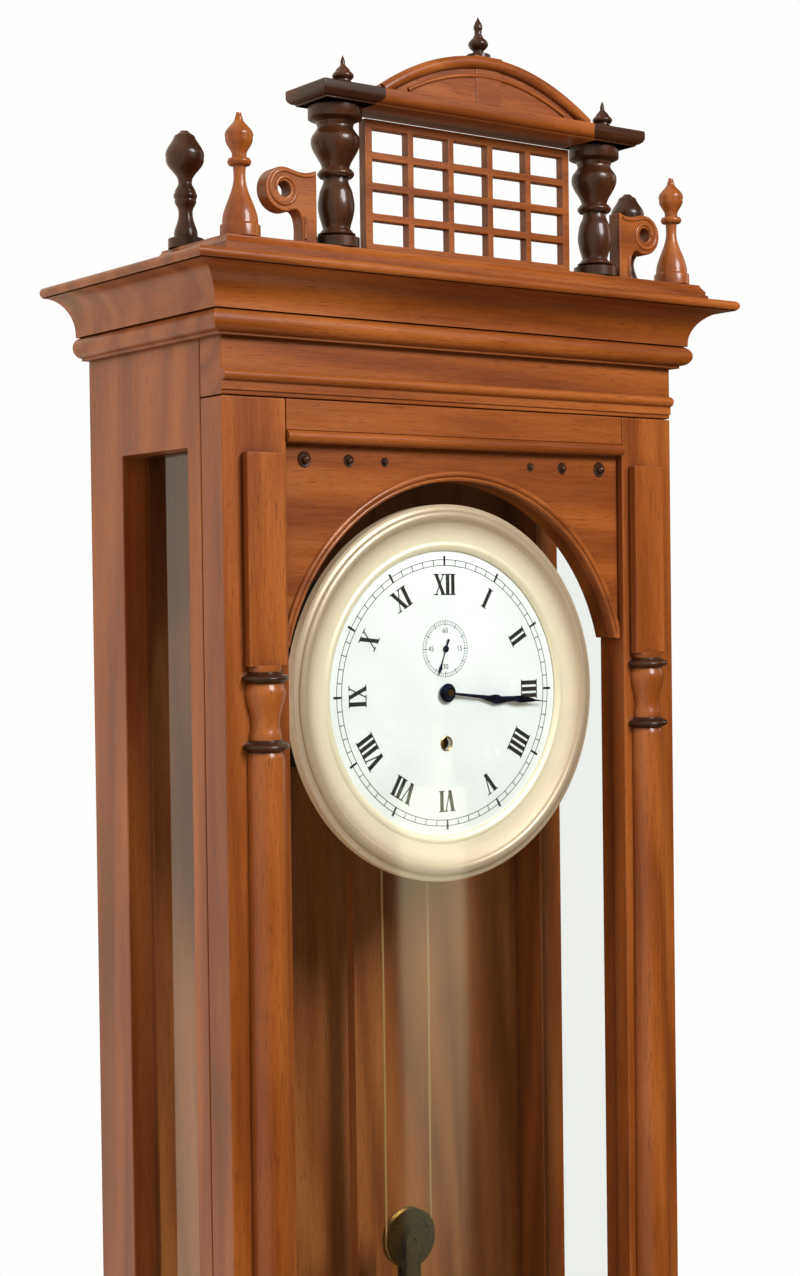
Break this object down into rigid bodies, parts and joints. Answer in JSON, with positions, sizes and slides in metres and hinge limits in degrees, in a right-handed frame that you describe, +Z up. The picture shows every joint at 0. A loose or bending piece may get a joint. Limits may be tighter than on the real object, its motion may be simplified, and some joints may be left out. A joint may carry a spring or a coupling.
{
  "type": "regulator clock",
  "caption": "Wall-hung regulator clock in a glazed wooden case with cresting, an arched door, a round dial, a going train, a weight on a pulley and a wooden-rod pendulum.",
  "frame": {"origin": "on the back face of the backboard, which lies on the wall, directly behind the middle of the dial", "axes": "+Z up, +Y back into the wall, +X to the right as seen from the front; the dial faces -Y"},
  "size_m": [0.3926, 0.1793, 1.2714],
  "materials": {
    "case_wood": "reddish brown walnut, shellac polish",
    "dark_wood": "dark stained turned wood, polished",
    "inner_wood": "plain brown wood, satin",
    "clear_glass": "old clear window glass",
    "brass": "lacquered brass, lightly aged",
    "bezel_brass": "pale spun brass, satin",
    "enamel": "white enamel, black numerals",
    "blued_steel": "blued steel",
    "steel": "plain steel",
    "cast_iron": "black iron",
    "gut_line": "twisted gut"
  },
  "bodies": {
    "case": {"backboard": "inner_wood", "wall_plate": "steel", "case_side_left": "case_wood", "case_side_right": "case_wood", "side_glass_left": "clear_glass", "side_glass_right": "clear_glass", "top_board": "case_wood", "bottom_board": "case_wood", "frieze": "case_wood", "cornice": "case_wood", "base_moulding": "case_wood", "bottom_drop": "case_wood", "drop_finial": "dark_wood", "crest_base": "case_wood", "crest_post_left": "dark_wood", "crest_post_right": "dark_wood", "crest_wing_left": "dark_wood", "crest_wing_right": "dark_wood", "corner_finial_left": "case_wood", "corner_finial_right": "case_wood", "side_finial_left": "dark_wood", "side_finial_right": "dark_wood", "crest_lattice": "case_wood", "pediment": "case_wood", "top_finial": "dark_wood", "hinge_upper_case_leaf": "brass", "hinge_lower_case_leaf": "brass", "dial": "enamel", "bezel": "bezel_brass", "front_plate": "brass", "back_plate": "brass", "movement_bracket": "cast_iron", "weight_line": "gut_line"},
    "door": {"door_stile_left": "case_wood", "door_stile_right": "case_wood", "door_column_left": "case_wood", "door_column_right": "case_wood", "door_top_rail": "case_wood", "door_bottom_rail": "case_wood", "door_glass": "clear_glass", "hinge_upper_door_leaf": "brass", "hinge_lower_door_leaf": "brass"},
    "latch": {"door_latch": "brass"},
    "centre_arbor": {"centre_wheel": "brass", "minute_hand": "blued_steel"},
    "hour_pipe": {"hour_wheel": "brass", "hour_hand": "blued_steel"},
    "minute_wheel": {"minute_wheel": "brass"},
    "great_wheel": {"great_wheel": "brass"},
    "third_arbor": {"third_wheel": "brass"},
    "escape_arbor": {"escape_wheel": "brass", "seconds_hand": "blued_steel"},
    "barrel": {"barrel": "brass"},
    "weight": {"weight": "brass"},
    "pulley": {"pulley": "brass"},
    "pendulum": {"suspension_spring": "steel", "pendulum_rod": "inner_wood", "pendulum_bob": "brass"},
    "rating_nut": {"rating_nut": "brass"},
    "pallet_arbor": {"pallets": "steel"}
  },
  "joints": [
    {"name": "door_hinge", "type": "hinge", "parent": "case", "child": "door", "pos_m": [0.1688, -0.12575, 0], "axis": [0, 0, 1], "range_deg": [0, 110]},
    {"name": "latch_turn", "type": "hinge", "parent": "door", "child": "latch", "pos_m": [-0.141, -0.148, -0.67], "axis": [0, 1, 0], "range_deg": [0, 90]},
    {"name": "minute_hand_turn", "type": "hinge", "parent": "case", "child": "centre_arbor", "pos_m": [0, -0.1, 0], "axis": [0, 1, 0], "continuous": true},
    {"name": "hour_hand_turn", "type": "hinge", "parent": "case", "child": "hour_pipe", "pos_m": [0, -0.12, 0], "axis": [0, 1, 0], "continuous": true},
    {"name": "minute_wheel_turn", "type": "hinge", "parent": "case", "child": "minute_wheel", "pos_m": [-0.01008, -0.118, 0], "axis": [0, 1, 0], "continuous": true},
    {"name": "great_wheel_turn", "type": "hinge", "parent": "case", "child": "great_wheel", "pos_m": [0, -0.1, -0.03], "axis": [0, 1, 0], "continuous": true},
    {"name": "third_wheel_turn", "type": "hinge", "parent": "case", "child": "third_arbor", "pos_m": [0.01371, -0.094, 0.0149], "axis": [0, 1, 0], "continuous": true},
    {"name": "seconds_hand_turn", "type": "hinge", "parent": "case", "child": "escape_arbor", "pos_m": [0, -0.086, 0.026], "axis": [0, 1, 0], "continuous": true},
    {"name": "barrel_turn", "type": "hinge", "parent": "case", "child": "barrel", "pos_m": [0, -0.09, -0.03], "axis": [0, 1, 0], "range_deg": [-2190, 2550]},
    {"name": "weight_drop", "type": "slide", "parent": "case", "child": "weight", "axis": [0, 0, 1], "range_m": [-0.185, 0.2155], "deforming": ["weight_line"]},
    {"name": "pulley_turn", "type": "hinge", "parent": "weight", "child": "pulley", "pos_m": [0, -0.084, -0.334], "axis": [0, 1, 0], "range_deg": [-630, 735]},
    {"name": "pendulum_swing", "type": "hinge", "parent": "case", "child": "pendulum", "pos_m": [0, -0.036, 0.04792], "axis": [0, 1, 0], "range_deg": [-2.5, 2.5]},
    {"name": "rating_nut_turn", "type": "hinge", "parent": "pendulum", "child": "rating_nut", "pos_m": [0, -0.036, -0.645], "axis": [0, 0, 1], "range_deg": [-720, 720]},
    {"name": "pallet_rock", "type": "hinge", "parent": "case", "child": "pallet_arbor", "pos_m": [0, -0.086, 0.04792], "axis": [0, 1, 0], "range_deg": [-2.6, 2.6]}
  ],
  "couplings": [
    {"joint": "hour_hand_turn", "follows": "minute_hand_turn", "ratio": 0.083333},
    {"joint": "minute_wheel_turn", "follows": "minute_hand_turn", "ratio": -0.33333},
    {"joint": "great_wheel_turn", "follows": "minute_hand_turn", "ratio": -0.069444},
    {"joint": "third_wheel_turn", "follows": "minute_hand_turn", "ratio": -8},
    {"joint": "seconds_hand_turn", "follows": "minute_hand_turn", "ratio": 76},
    {"joint": "barrel_turn", "follows": "weight_drop", "rad_per_m": 206.19},
    {"joint": "pulley_turn", "follows": "weight_drop", "rad_per_m": 59.172},
    {"joint": "pallet_rock", "follows": "pendulum_swing", "ratio": 1}
  ]
}
